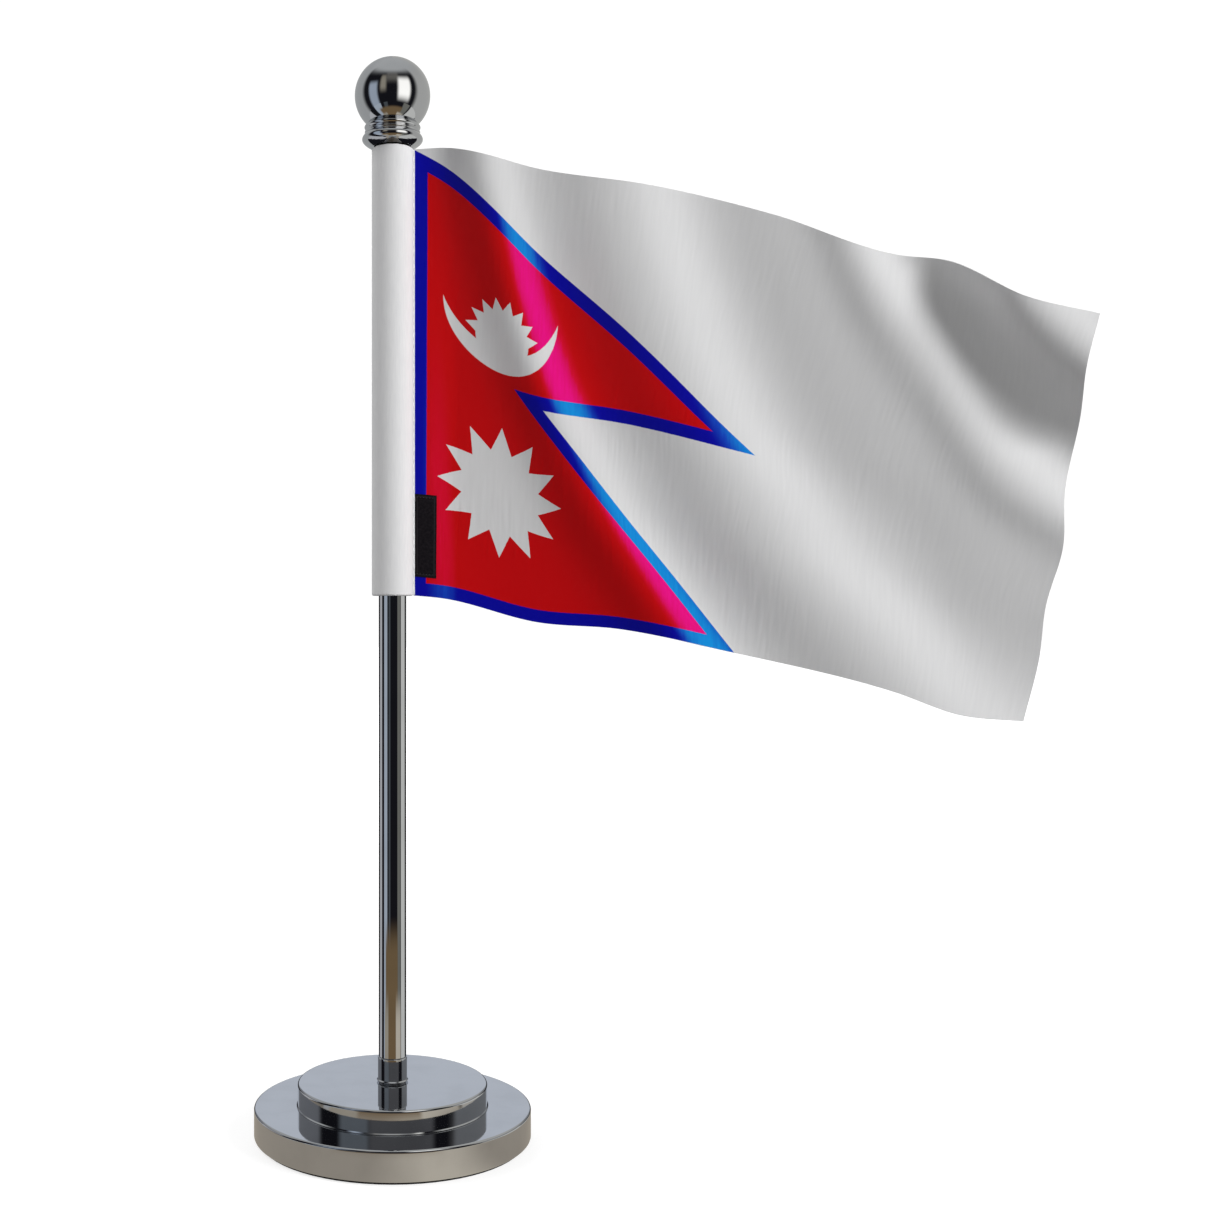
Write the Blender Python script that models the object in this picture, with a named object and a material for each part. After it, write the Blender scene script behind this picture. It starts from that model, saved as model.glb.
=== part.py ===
"""Desk flag stand: a two-tier metal foot, a tubular mast with a ball finial, and a flag on a sleeve.

Metres, +Z up. The origin is on the mast's axis, on the surface that the stand rests on. The flag flies
towards +X, and its printed side faces -Y.
"""

import math

import bmesh
import bpy
import numpy as np

MM = 0.001

# Driving dimensions, in millimetres.
PAD_R = 41.8
PAD_T = 0.8
PLATE_R = 43.3
PLATE_TOP = 10.1
STEP_R = 29.7
STEP_TOP = 17.2
EDGE_ROUND = 0.75
# The upper disc and the collar each stand on a small bright lip, with a slope above it.
LIP = 0.3
LIP_T = 0.1

SCREW_R = 2.4
SCREW_HOLE_R = 2.75
SCREW_HEAD_R = 4.4
SCREW_HEAD_T = 2.7
SCREW_LENGTH = 20.0
SOCKET_R = 1.75
SOCKET_DEPTH = 1.6
COUNTERBORE_R = 6.6
COUNTERBORE_TOP = 5.6
WASHER_R = 6.0
WASHER_T = 0.8
LOCK_R = 4.5
LOCK_T = 0.8
LOCK_SPLIT = 0.8

POLE_R = 4.3
POLE_WALL = 0.8
POLE_TOP = 309.3
THIN_WASHER_T = 0.45
FERRULE_R = 4.6
FERRULE_TOP = 25.0
FERRULE_TAP_R = 2.5
FERRULE_TAP_TOP = 26.0
SPIGOT_TOP = 35.0
PLUG_LENGTH = 10.0
PLUG_TAP_R = 2.05
STUD_R = 1.95
STUD_BOTTOM = 303.6
STUD_TOP = 324.0

NECK_BOTTOM = 309.9
NECK_TOP = 317.0
NECK_BORE_R = 2.02
# The neck's rings, upwards: low, high, the radius at each end, and how far the side swells out.
NECK_RINGS = (
    (NECK_BOTTOM, 314.3, 6.6, 8.5, 1.9),
    (314.4, 315.3, 8.5, 8.2, 0.35),
    (315.5, NECK_TOP, 8.2, 8.4, 0.5),
)
BALL_R = 11.85
BALL_CENTRE = 326.3

SLEEVE_R = 6.5
SLEEVE_WALL = 0.45
SLEEVE_BOTTOM = 169.4
SLEEVE_TOP = 309.6
LINER_R = 6.0
LINER_WALL = 0.8
BUSH_BORE_R = 4.37
BUSH_LENGTH = 12.0
BUSH_FLANGE_T = 0.8

FLY = 210.0
HOIST = 140.0
HOIST_X = 6.9
CLOTH_T = 0.6
LABEL_WIDTH = 7.0
LABEL_HEIGHT = 26.0
LABEL_RISE = 6.0
LABEL_T = 0.4

FACE_GAP = 0.05
FIT_GAP = 0.1

# The flag is laid out as it is seen from a viewing point in front of the stand.
EYE_Y = -490.6
EYE_Z = 165.9

# Its edges in the plane of the mast, as (x, z): the upper and lower edge from the sleeve outwards, and
# the free edge from top to bottom.
UPPER_EDGE = (
    (6.6, 309.5), (17.0, 310.0), (48.0, 303.0), (80.0, 298.5), (120.0, 289.0), (158.0, 276.5),
    (175.0, 274.5), (199.0, 263.5), (222.0, 258.0),
)
LOWER_EDGE = (
    (6.6, 169.5), (15.0, 168.7), (46.0, 161.0), (71.0, 159.0), (105.0, 152.0), (158.0, 139.0),
    (178.0, 132.0), (198.0, 130.0),
)
FREE_EDGE = (
    (222.0, 258.0), (218.0, 242.0), (216.0, 226.0), (211.0, 202.0), (210.5, 185.0), (205.0, 166.0),
    (203.0, 150.0), (198.0, 130.0),
)

# The folds run from the upper edge down and outwards. Each is a flank: where its line starts on the
# upper edge as a share of the fly, its half width there, and how far the cloth steps back across it at
# the upper edge and, added to that, at the lower edge.
FLANKS = (
    (-0.13, 0.05, 0.0, 4.0),
    (0.07, 0.04, -9.0, 2.0),
    (0.13, 0.035, 9.0, 2.0),
    (0.23, 0.05, -5.0, 0.0),
    (0.36, 0.05, 13.0, 0.0),
    (0.47, 0.06, -4.0, 0.0),
    (0.59, 0.035, -4.0, 0.0),
    (0.67, 0.035, 11.0, 1.0),
    (0.80, 0.07, -22.0, -8.0),
    (0.96, 0.05, 6.0, 0.0),
)
# How far outwards the folds run on their way down, how much more the outer ones do, and how their lines
# bend, as shares of the fly.
FOLD_LEAN = 0.1
FOLD_FAN = 1.0
FOLD_BEND = 0.17
# The share of the fly beside the sleeve over which the cloth comes back to the mast's plane.
HELD_FLAT = 0.07
# How far the middle of the cloth sags, and how far it is drawn in towards the sleeve.
BELLY = 4.0
GATHER = 3.5


def material(name, colour, roughness, metallic=0.0):
    """A plain Principled material."""
    made = bpy.data.materials.new(name)
    made.use_nodes = True
    shader = made.node_tree.nodes["Principled BSDF"]
    shader.inputs["Base Color"].default_value = (*colour, 1.0)
    shader.inputs["Roughness"].default_value = roughness
    shader.inputs["Metallic"].default_value = metallic
    return made


def add_object(name, bm, surface, sharp=35.0):
    """Makes one named object from a bmesh in millimetres."""
    bmesh.ops.scale(bm, vec=(MM, MM, MM), verts=bm.verts)
    bmesh.ops.recalc_face_normals(bm, faces=bm.faces)
    mesh = bpy.data.meshes.new(name)
    bm.to_mesh(mesh)
    bm.free()
    mesh.shade_smooth()
    mesh.set_sharp_from_angle(angle=math.radians(sharp))
    mesh.materials.append(surface)
    made = bpy.data.objects.new(name, mesh)
    bpy.context.collection.objects.link(made)
    return made


def rounded(corners, radius, steps=3):
    """A profile of (r, z, rounded?) corners with each marked corner turned into an arc."""
    path = []
    count = len(corners)
    for index, (r, z, soft) in enumerate(corners):
        here = np.array((r, z))
        if not soft:
            path.append((r, z))
            continue
        before = np.array(corners[index - 1][:2]) - here
        after = np.array(corners[(index + 1) % count][:2]) - here
        before = before / np.linalg.norm(before)
        after = after / np.linalg.norm(after)
        half = math.acos(float(before @ after)) / 2
        start = here + before * radius / math.tan(half)
        end = here + after * radius / math.tan(half)
        middle = before + after
        centre = here + middle / np.linalg.norm(middle) * radius / math.sin(half)
        for step in range(steps + 1):
            share = step / steps
            point = start * (1 - share) + end * share - centre
            point = centre + point / np.linalg.norm(point) * radius
            path.append((float(point[0]), float(point[1])))
    return path


def bead(low, high, r_low, r_high, swell, steps=6):
    """Points up the outside of one turned ring, from low to high, standing out by swell at its middle."""
    points = []
    for step in range(steps + 1):
        share = step / steps
        r = r_low + (r_high - r_low) * share + swell * math.sin(math.pi * share)
        points.append((r, low + (high - low) * share))
    return points


def turned(name, profile, surface, segments):
    """Spins a closed (r, z) profile round the Z axis."""
    bm = bmesh.new()
    verts = [bm.verts.new((r, 0.0, z)) for r, z in profile]
    edges = []
    for index, vert in enumerate(verts):
        other = verts[(index + 1) % len(verts)]
        on_axis = vert.co.x < 1e-6 and other.co.x < 1e-6
        if not on_axis:
            edges.append(bm.edges.new((vert, other)))
    bmesh.ops.spin(
        bm,
        geom=verts + edges,
        cent=(0, 0, 0),
        axis=(0, 0, 1),
        angle=math.tau,
        steps=segments,
        use_merge=True,
    )
    bmesh.ops.remove_doubles(bm, verts=bm.verts, dist=1e-4)
    return add_object(name, bm, surface)


def ring(name, inner, outer, low, high, surface, segments=36):
    """A plain washer or tube."""
    profile = [(inner, low), (outer, low), (outer, high), (inner, high)]
    return turned(name, profile, surface, segments)


def build_base(chrome, steel, felt):
    """The foot: pad, two discs, and the screw with its washers."""
    turned("base_pad", [(0, 0), (PAD_R, 0), (PAD_R, PAD_T), (0, PAD_T)], felt, 64)

    plate_low = PAD_T + FACE_GAP
    plate = [
        (SCREW_HOLE_R, COUNTERBORE_TOP, False),
        (COUNTERBORE_R, COUNTERBORE_TOP, False),
        (COUNTERBORE_R, plate_low, False),
        (PLATE_R, plate_low, True),
        (PLATE_R, PLATE_TOP, True),
        (SCREW_HOLE_R, PLATE_TOP, False),
    ]
    turned("base_plate", rounded(plate, EDGE_ROUND), chrome, 64)

    step_low = PLATE_TOP + FACE_GAP
    step = [
        (SCREW_HOLE_R, step_low, False),
        (STEP_R + LIP, step_low, False),
        (STEP_R + LIP, step_low + LIP_T, False),
        (STEP_R, step_low + LIP_T + LIP, False),
        (STEP_R, STEP_TOP, True),
        (SCREW_HOLE_R, STEP_TOP, False),
    ]
    turned("base_step", rounded(step, EDGE_ROUND), chrome, 56)

    washer_high = COUNTERBORE_TOP - FACE_GAP
    washer_low = washer_high - WASHER_T
    ring("screw_washer", SCREW_HOLE_R, WASHER_R, washer_low, washer_high, steel)

    lock_high = washer_low - FACE_GAP
    lock_low = lock_high - LOCK_T
    build_lock_washer(lock_low, lock_high, steel)

    head_high = lock_low - FACE_GAP
    head_low = head_high - SCREW_HEAD_T
    tip = head_high + SCREW_LENGTH
    screw = [
        (0, head_low + SOCKET_DEPTH),
        (SOCKET_R, head_low + SOCKET_DEPTH),
        (SOCKET_R, head_low),
        (SCREW_HEAD_R - 0.4, head_low),
        (SCREW_HEAD_R, head_low + 0.4),
        (SCREW_HEAD_R, head_high),
        (SCREW_R, head_high),
        (SCREW_R, tip - 0.6),
        (SCREW_R - 0.6, tip),
        (0, tip),
    ]
    turned("base_screw", screw, steel, 24)


def build_lock_washer(low, high, steel):
    """A split ring: the section is swept round from one side of the split to the other."""
    half_gap = math.asin(LOCK_SPLIT / 2 / LOCK_R)
    bm = bmesh.new()
    section = [(SCREW_HOLE_R, low), (LOCK_R, low), (LOCK_R, high), (SCREW_HOLE_R, high)]
    start = [bm.verts.new((r * math.cos(half_gap), r * math.sin(half_gap), z)) for r, z in section]
    face = bm.faces.new(start)
    turn = math.tau - 2 * half_gap
    bmesh.ops.spin(bm, geom=[face], cent=(0, 0, 0), axis=(0, 0, 1), angle=turn, steps=24)
    add_object("lock_washer", bm, steel)


def build_mast(chrome, brass, steel):
    """The mast: washer, ferrule, tube and the threaded plug in its top end."""
    washer_low = STEP_TOP + FACE_GAP
    washer_high = washer_low + THIN_WASHER_T
    ring("pole_washer", SCREW_HOLE_R, FERRULE_R - 0.3, washer_low, washer_high, steel)

    collar_low = washer_high + FACE_GAP
    tube_bore = POLE_R - POLE_WALL
    spigot_r = tube_bore - FIT_GAP
    ferrule = [
        (FERRULE_TAP_R, collar_low),
        (FERRULE_R + LIP, collar_low),
        (FERRULE_R + LIP, collar_low + LIP_T),
        (FERRULE_R, collar_low + LIP_T + LIP),
        (FERRULE_R, FERRULE_TOP - 0.25),
        (FERRULE_R - 0.25, FERRULE_TOP),
        (spigot_r, FERRULE_TOP),
        (spigot_r, SPIGOT_TOP - 0.5),
        (spigot_r - 0.5, SPIGOT_TOP),
        (0, SPIGOT_TOP),
        (0, FERRULE_TAP_TOP),
        (FERRULE_TAP_R, FERRULE_TAP_TOP),
    ]
    turned("pole_ferrule", ferrule, chrome, 36)

    ring("pole_tube", tube_bore, POLE_R, FERRULE_TOP + FACE_GAP, POLE_TOP, chrome)

    plug_low = POLE_TOP - PLUG_LENGTH
    ring("upper_plug", PLUG_TAP_R, spigot_r, plug_low, POLE_TOP - FACE_GAP, brass, 28)


def build_finial(chrome, steel, nylon):
    """The finial: washer, stud, ringed neck and ball."""
    washer_low = POLE_TOP + FACE_GAP
    washer_high = NECK_BOTTOM - FACE_GAP
    ring("finial_washer", NECK_BORE_R, POLE_R, washer_low, washer_high, nylon)

    stud = [
        (0, STUD_BOTTOM),
        (STUD_R - 0.5, STUD_BOTTOM),
        (STUD_R, STUD_BOTTOM + 0.5),
        (STUD_R, STUD_TOP - 0.5),
        (STUD_R - 0.5, STUD_TOP),
        (0, STUD_TOP),
    ]
    turned("finial_stud", stud, steel, 20)

    neck = [(NECK_BORE_R, NECK_BOTTOM)]
    for ring_shape in NECK_RINGS:
        neck += bead(*ring_shape)
    neck += [(NECK_BORE_R, NECK_TOP)]
    turned("finial_neck", neck, chrome, 36)

    flat_z = NECK_TOP + FACE_GAP
    low_angle = math.asin((flat_z - BALL_CENTRE) / BALL_R)
    socket_top = STUD_TOP + 1.0
    ball = [(0, socket_top), (NECK_BORE_R, socket_top), (NECK_BORE_R, flat_z)]
    steps = 13
    for step in range(steps + 1):
        angle = low_angle + (math.pi / 2 - low_angle) * step / steps
        r = BALL_R * math.cos(angle) if step < steps else 0.0
        ball.append((r, BALL_CENTRE + BALL_R * math.sin(angle)))
    turned("finial_ball", ball, chrome, 36)


def build_sleeve(cloth, plastic, grip):
    """The flag's sleeve: fabric over a liner tube that runs on two bushes."""
    liner_bore = LINER_R - LINER_WALL
    liner_low = SLEEVE_BOTTOM + BUSH_FLANGE_T + 2 * FACE_GAP
    liner_high = SLEEVE_TOP - BUSH_FLANGE_T - 2 * FACE_GAP
    ring("sleeve_liner", liner_bore, LINER_R, liner_low, liner_high, plastic)

    body_r = liner_bore - FIT_GAP
    flange_r = LINER_R - 0.2
    flange_low = SLEEVE_BOTTOM + FACE_GAP
    lower_bush = [
        (BUSH_BORE_R, flange_low),
        (flange_r, flange_low),
        (flange_r, liner_low - FACE_GAP),
        (body_r, liner_low - FACE_GAP),
        (body_r, flange_low + BUSH_LENGTH),
        (BUSH_BORE_R, flange_low + BUSH_LENGTH),
    ]
    middle = SLEEVE_BOTTOM + SLEEVE_TOP
    upper_bush = [(r, middle - z) for r, z in reversed(lower_bush)]
    turned("lower_sleeve_bush", lower_bush, grip, 32)
    turned("upper_sleeve_bush", upper_bush, grip, 32)

    fabric_bore = SLEEVE_R - SLEEVE_WALL
    ring("flag_sleeve", fabric_bore, SLEEVE_R, SLEEVE_BOTTOM, SLEEVE_TOP, cloth, 40)


def smooth_through(stations, values, where):
    """A smooth curve through values given at stations, read at where."""
    stations = np.asarray(stations, float)
    values = np.asarray(values, float)
    slopes = np.gradient(values, stations)
    index = np.clip(np.searchsorted(stations, where) - 1, 0, len(stations) - 2)
    span = stations[index + 1] - stations[index]
    share = (where - stations[index]) / span
    rest = 1 - share
    start = rest * rest * (1 + 2 * share) * values[index] + rest * rest * share * span * slopes[index]
    end_slope = share * share * rest * span * slopes[index + 1]
    return start + share * share * (3 - 2 * share) * values[index + 1] - end_slope


def cloth_outline(fly, drop):
    """(x, z) in the plane of the mast of the cloth at a share of the fly and a share of the drop."""
    upper = np.array(UPPER_EDGE)
    lower = np.array(LOWER_EDGE)
    free = np.array(FREE_EDGE)
    upper_x = upper[0, 0] + (upper[-1, 0] - upper[0, 0]) * fly
    upper_z = smooth_through(upper[:, 0], upper[:, 1], upper_x)
    lower_x = lower[0, 0] + (lower[-1, 0] - lower[0, 0]) * fly
    lower_z = smooth_through(lower[:, 0], lower[:, 1], lower_x)
    run = np.concatenate(([0.0], np.cumsum(np.hypot(*np.diff(free, axis=0).T))))
    along = drop * run[-1]
    free_x = smooth_through(run, free[:, 0], along)
    free_z = smooth_through(run, free[:, 1], along)

    def blend(top_value, low_value, free_value, low_start, top_start, top_end, low_end):
        hoist_value = top_start + (low_start - top_start) * drop
        corners = (1 - fly) * hoist_value + fly * (top_end + (low_end - top_end) * drop)
        return (1 - drop) * top_value + drop * low_value + (1 - fly) * hoist_value + fly * free_value - corners

    x = blend(upper_x, lower_x, free_x, lower[0, 0], upper[0, 0], upper[-1, 0], lower[-1, 0])
    z = blend(upper_z, lower_z, free_z, lower[0, 1], upper[0, 1], upper[-1, 1], lower[-1, 1])
    belly = np.sin(np.pi * fly) * np.sin(np.pi * drop)
    return x - GATHER * 2 * fly * belly, z - BELLY * belly


def fold_line(fly, drop):
    """Where on the upper edge the fold through this point starts: it bends outwards as it runs down."""
    low = np.full_like(fly, -0.7)
    high = np.full_like(fly, 1.05)
    for _ in range(24):
        start = (low + high) / 2
        lean = FOLD_LEAN + FOLD_FAN * start * np.abs(start)
        reached = start + lean * drop + (FOLD_BEND + FOLD_FAN / 2 * start) * drop * drop
        low = np.where(reached < fly, start, low)
        high = np.where(reached < fly, high, start)
    return (low + high) / 2


def folds(fly, drop):
    """How far back the folds put the cloth here, and the share of the fly that their slopes have taken up."""
    line = fold_line(fly, drop)
    depth = np.zeros_like(fly)
    taken = np.zeros_like(fly)
    for start, width, step_top, step_more in FLANKS:
        crossed = 0.5 * (1 + np.tanh((line - start) / width))
        step = step_top + step_more * drop
        depth = depth + step * crossed
        # A slope like this is longer than its width across by step squared over six half widths.
        taken = taken + step * step / (6 * width * FLY * FLY) * crossed
    return depth, taken


def cloth_point(fly, drop):
    """(x, y, z) of the cloth's middle surface, as arrays."""
    depth, taken = folds(fly, drop)
    _, taken_in_all = folds(np.ones_like(fly), drop)
    _, taken_before = folds(np.zeros_like(fly), drop)
    ease = np.clip(fly / HELD_FLAT, 0, 1)
    depth = depth * ease * ease * (3 - 2 * ease)
    reach = fly * (1 + taken_in_all - taken_before) - (taken - taken_before)
    x, z = cloth_outline(reach, drop)
    nearer = 1 - depth / EYE_Y
    return np.stack((x * nearer, depth, EYE_Z + (z - EYE_Z) * nearer), axis=-1)


def sheet_solid(name, fly, drop, near, far, surface):
    """A closed sheet over a grid of fly and drop, from near to far in front of the cloth's middle."""
    nudge = 0.002
    middle = cloth_point(fly, drop)
    along = cloth_point(fly + nudge, drop) - cloth_point(fly - nudge, drop)
    down = cloth_point(fly, drop + nudge) - cloth_point(fly, drop - nudge)
    front = np.cross(down, along)
    front = front / np.linalg.norm(front, axis=-1, keepdims=True)
    front = np.where(front[..., 1:2] > 0, -front, front)
    rows, columns = fly.shape
    bm = bmesh.new()
    sides = []
    for offset in (near, far):
        points = middle + front * offset
        sides.append([[bm.verts.new(points[row, col]) for col in range(columns)] for row in range(rows)])
    for side in sides:
        for row in range(rows - 1):
            for col in range(columns - 1):
                corners = (side[row][col], side[row][col + 1], side[row + 1][col + 1], side[row + 1][col])
                bm.faces.new(corners)
    rim = [(0, col) for col in range(columns)]
    rim += [(row, columns - 1) for row in range(1, rows)]
    rim += [(rows - 1, col) for col in range(columns - 2, -1, -1)]
    rim += [(row, 0) for row in range(rows - 2, 0, -1)]
    for index, (row, col) in enumerate(rim):
        next_row, next_col = rim[(index + 1) % len(rim)]
        corners = (
            sides[0][row][col],
            sides[0][next_row][next_col],
            sides[1][next_row][next_col],
            sides[1][row][col],
        )
        bm.faces.new(corners)
    return add_object(name, bm, surface, sharp=60.0)


def build_flag(cloth, black):
    """The flying cloth and the label sewn to it."""
    first = (HOIST_X - UPPER_EDGE[0][0]) / (UPPER_EDGE[-1][0] - UPPER_EDGE[0][0])
    drop, fly = np.meshgrid(np.linspace(0, 1, 17), np.linspace(first, 1, 29), indexing="ij")
    sheet_solid("flag_panel", fly, drop, -CLOTH_T / 2, CLOTH_T / 2, cloth)

    left = first + 0.5 / FLY
    right = left + LABEL_WIDTH / FLY
    low = 1 - LABEL_RISE / HOIST
    high = low - LABEL_HEIGHT / HOIST
    drop, fly = np.meshgrid(np.linspace(high, low, 7), np.linspace(left, right, 4), indexing="ij")
    near = CLOTH_T / 2 + FIT_GAP
    sheet_solid("side_label", fly, drop, near, near + LABEL_T, black)


def main():
    for existing in list(bpy.data.objects):
        bpy.data.objects.remove(existing, do_unlink=True)

    chrome = material("chrome", (0.62, 0.63, 0.65), 0.07, 1.0)
    steel = material("zinc_steel", (0.52, 0.53, 0.55), 0.35, 1.0)
    brass = material("brass", (0.71, 0.55, 0.27), 0.35, 1.0)
    felt = material("dark_felt", (0.03, 0.03, 0.035), 0.95)
    nylon = material("nylon", (0.035, 0.035, 0.038), 0.5)
    plastic = material("liner_plastic", (0.88, 0.88, 0.88), 0.4)
    grip = material("grip_rubber", (0.06, 0.06, 0.06), 0.7)
    cloth = material("white_polyester", (0.86, 0.86, 0.87), 0.6)
    black = material("black_label", (0.015, 0.015, 0.018), 0.6)

    build_base(chrome, steel, felt)
    build_mast(chrome, brass, steel)
    build_finial(chrome, steel, nylon)
    build_sleeve(cloth, plastic, grip)
    build_flag(cloth, black)


main()
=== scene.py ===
"""A desk flag stand: a two-tier chrome foot, a chrome mast with a ball finial, and a cloth flag on a sleeve.

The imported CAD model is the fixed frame. Sizes are in millimetres until a mesh is made.
"""

import math

import bmesh
import bpy
import numpy as np
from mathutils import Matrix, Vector


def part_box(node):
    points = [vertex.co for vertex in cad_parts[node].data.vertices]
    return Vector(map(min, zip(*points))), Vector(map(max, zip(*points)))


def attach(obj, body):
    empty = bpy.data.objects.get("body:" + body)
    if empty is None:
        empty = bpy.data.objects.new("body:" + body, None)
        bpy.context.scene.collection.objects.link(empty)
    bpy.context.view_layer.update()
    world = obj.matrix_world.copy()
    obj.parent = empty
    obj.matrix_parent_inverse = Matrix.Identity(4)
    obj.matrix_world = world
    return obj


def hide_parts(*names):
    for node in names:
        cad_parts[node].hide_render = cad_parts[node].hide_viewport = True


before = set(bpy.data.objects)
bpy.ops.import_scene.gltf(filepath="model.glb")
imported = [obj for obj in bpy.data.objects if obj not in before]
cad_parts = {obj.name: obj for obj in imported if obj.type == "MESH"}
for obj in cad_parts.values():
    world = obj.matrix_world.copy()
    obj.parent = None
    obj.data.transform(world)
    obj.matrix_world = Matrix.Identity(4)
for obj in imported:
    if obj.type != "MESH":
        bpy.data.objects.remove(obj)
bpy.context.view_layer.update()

MM = 0.001
WHITE = (1.0, 1.0, 1.0)

# The viewing point, shared with the cloth's layout, and the framing.
EYE_Y = -490.6
EYE_Z = 165.9
FOCAL_LENGTH = 46.35
SENSOR = 36.0
SHIFT_X = 0.1767

# The foot, mast and finial: what their boxes don't tell.
SCREW_HOLE_R = 2.75
COUNTERBORE_R = 6.6
COUNTERBORE_TOP = 5.6
EDGE_ROUND = 0.75
# The lip under the upper disc and the collar: how far it stands out, and its edge's height below a slope.
LIP = 0.3
LIP_T = 0.1
SPIGOT_R = 3.4
TUBE_BORE_R = 3.5
COLLAR_TOP = 25.0
COLLAR_ROUND = 0.22
TUBE_ROUND = 0.12
TAP_R = 2.5
TAP_TOP = 26.0
NECK_BORE_R = 2.02
NECK_BOTTOM = 309.9
NECK_TOP = 317.0
# The neck's rings: bottom, top, radius at each, and how far the middle stands out.
NECK_RINGS = (
    (NECK_BOTTOM, 314.3, 6.6, 8.5, 1.9),
    (314.4, 315.3, 8.5, 8.2, 0.35),
    (315.5, NECK_TOP, 8.2, 8.4, 0.5),
)
BALL_R = 11.85
BALL_CENTRE = 326.3

# The screws: each thread's pitch and depth, and how steeply its flanks fall, in depths for one pitch.
FOOT_THREAD = (0.8, 0.42)
FINIAL_THREAD = (0.7, 0.34)
FLANK_FALL = 2.42
HEAD_T = 2.7
SOCKET_DEPTH = 1.6
SOCKET_R = 1.75
SHANK_R = 2.4

# The cloth, laid out as in the CAD.
FLY = 210.0
HOIST = 140.0
UPPER_EDGE = (
    (6.6, 309.5), (17.0, 310.0), (48.0, 303.0), (80.0, 298.5), (120.0, 289.0), (158.0, 276.5),
    (175.0, 274.5), (199.0, 263.5), (222.0, 258.0),
)
LOWER_EDGE = (
    (6.6, 169.5), (15.0, 168.7), (46.0, 161.0), (71.0, 159.0), (105.0, 152.0), (158.0, 139.0),
    (178.0, 132.0), (198.0, 130.0),
)
FREE_EDGE = (
    (222.0, 258.0), (218.0, 242.0), (216.0, 226.0), (211.0, 202.0), (210.5, 185.0), (205.0, 166.0),
    (203.0, 150.0), (198.0, 130.0),
)
# Each fold's flank: where it starts on the upper edge, its half width, its step back there, and how
# much that step grows down the cloth.
FLANKS = (
    (-0.13, 0.05, 0.0, 4.0),
    (0.07, 0.04, -9.0, 2.0),
    (0.13, 0.035, 9.0, 2.0),
    (0.23, 0.05, -5.0, 0.0),
    (0.36, 0.05, 13.0, 0.0),
    (0.47, 0.06, -4.0, 0.0),
    (0.59, 0.035, -4.0, 0.0),
    (0.67, 0.035, 11.0, 1.0),
    (0.80, 0.07, -22.0, -8.0),
    (0.96, 0.05, 6.0, 0.0),
)
# How far outwards the folds run on their way down, how much more the outer ones do, and how their lines
# bend, as shares of the fly.
FOLD_LEAN = 0.1
FOLD_FAN = 1.0
FOLD_BEND = 0.17
# The share of the fly beside the sleeve over which the cloth comes back to the mast's plane.
HELD_FLAT = 0.07
# How far the middle of the cloth sags, and how far it is drawn in towards the sleeve.
BELLY = 4.0
GATHER = 3.5

# The welt that joins the sleeve to the cloth: a strip folded over the hoist edge.
WELT_IN = 6.15
WELT_OUT = 7.0
WELT_FOLD = 6.45
WELT_CLEAR = 0.17
# Half its thickness at the sleeve and at its outer edge, and how much a stitch pulls each in.
WELT_HALF_IN = 0.42
WELT_HALF_OUT = 0.31
PINCH_IN = 0.04
PINCH_OUT = 0.05
STITCH_STEP = 2.4
STITCH_LENGTH = 1.6
THREAD_R = 0.08

# The sleeve's fabric, and how its ends turn in.
SLEEVE_WALL = 0.45
SLEEVE_CURL = 0.6
SLEEVE_TURN_IN = 0.64

LABEL_LEFT = 0.45
LABEL_WIDTH = 7.0
LABEL_RISE = 6.0
LABEL_HEIGHT = 26.0
LABEL_T = 0.14
LABEL_LIFT = 0.17
LABEL_COLUMNS = 15
LABEL_ROWS = 53

CLOTH_COLUMNS = 600
CLOTH_ROWS = 113
CLOTH_T = 0.26
CREASE_SEED = 612
COARSE_CREASE = 0.034
FINE_CREASE = 0.014
# How far from the hoist the creases have grown to their full height.
CREASES_GROW = 6.0

# The print: the flag's own construction units, and how large one of them is.
BORDER = 4.304
NOTCH_Y = 100 / math.sqrt(2)
PEAK_Y = 400 / 3
SLOPE = (PEAK_Y - NOTCH_Y) / 100
PRINT_TOP = PEAK_Y + BORDER * (SLOPE + math.hypot(1.0, SLOPE))
PRINT_UNIT = HOIST / (PRINT_TOP + BORDER)
# The emblems, in the same units: the line they stand on, the crescent's circle and the circle cut out of
# it, and each star's centre, and its outer radius, inner radius and number of rays.
EMBLEM_X = 25.0
CRESCENT_Y = 94.194
CRESCENT_R = 19.917
CUT_Y = 102.022
CUT_R = 21.4
MOON_Y = 84.926
MOON_STAR = (12.872, 9.268, 16)
SUN_Y = 35.355
SUN_STAR = (21.4, 13.572, 12)
# How wide the print's edges are, in millimetres.
SOFT_EDGE = 0.24
# Painted highlight: the ink is painted lighter, towards magenta and cyan, where the cloth faces the key
# light, from this cosine to this one.
PAINTED_HIGHLIGHT_STARTS = 0.60
PAINTED_HIGHLIGHT_FULL = 0.90

# Three soft lights, as name, direction, size and power: the key low on the right, the fill high on the
# left, and a weak one behind.
KEY_DIRECTION = (0.75, -0.52, 0.42)
LIGHTS = (
    ("key", KEY_DIRECTION, 1.3, 32.0),
    ("fill", (-0.7, 0.0, 0.7), 1.5, 14.0),
    ("back", (-0.2, 0.9, 0.35), 1.5, 12.0),
)
LIGHT_DISTANCE = 2.0
LIT_PLACE = (0.09, 0.0, 0.2)
SKY_STRENGTH = 0.31
BACKDROP_STRENGTH = 1.05


# ---- node helpers


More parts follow.
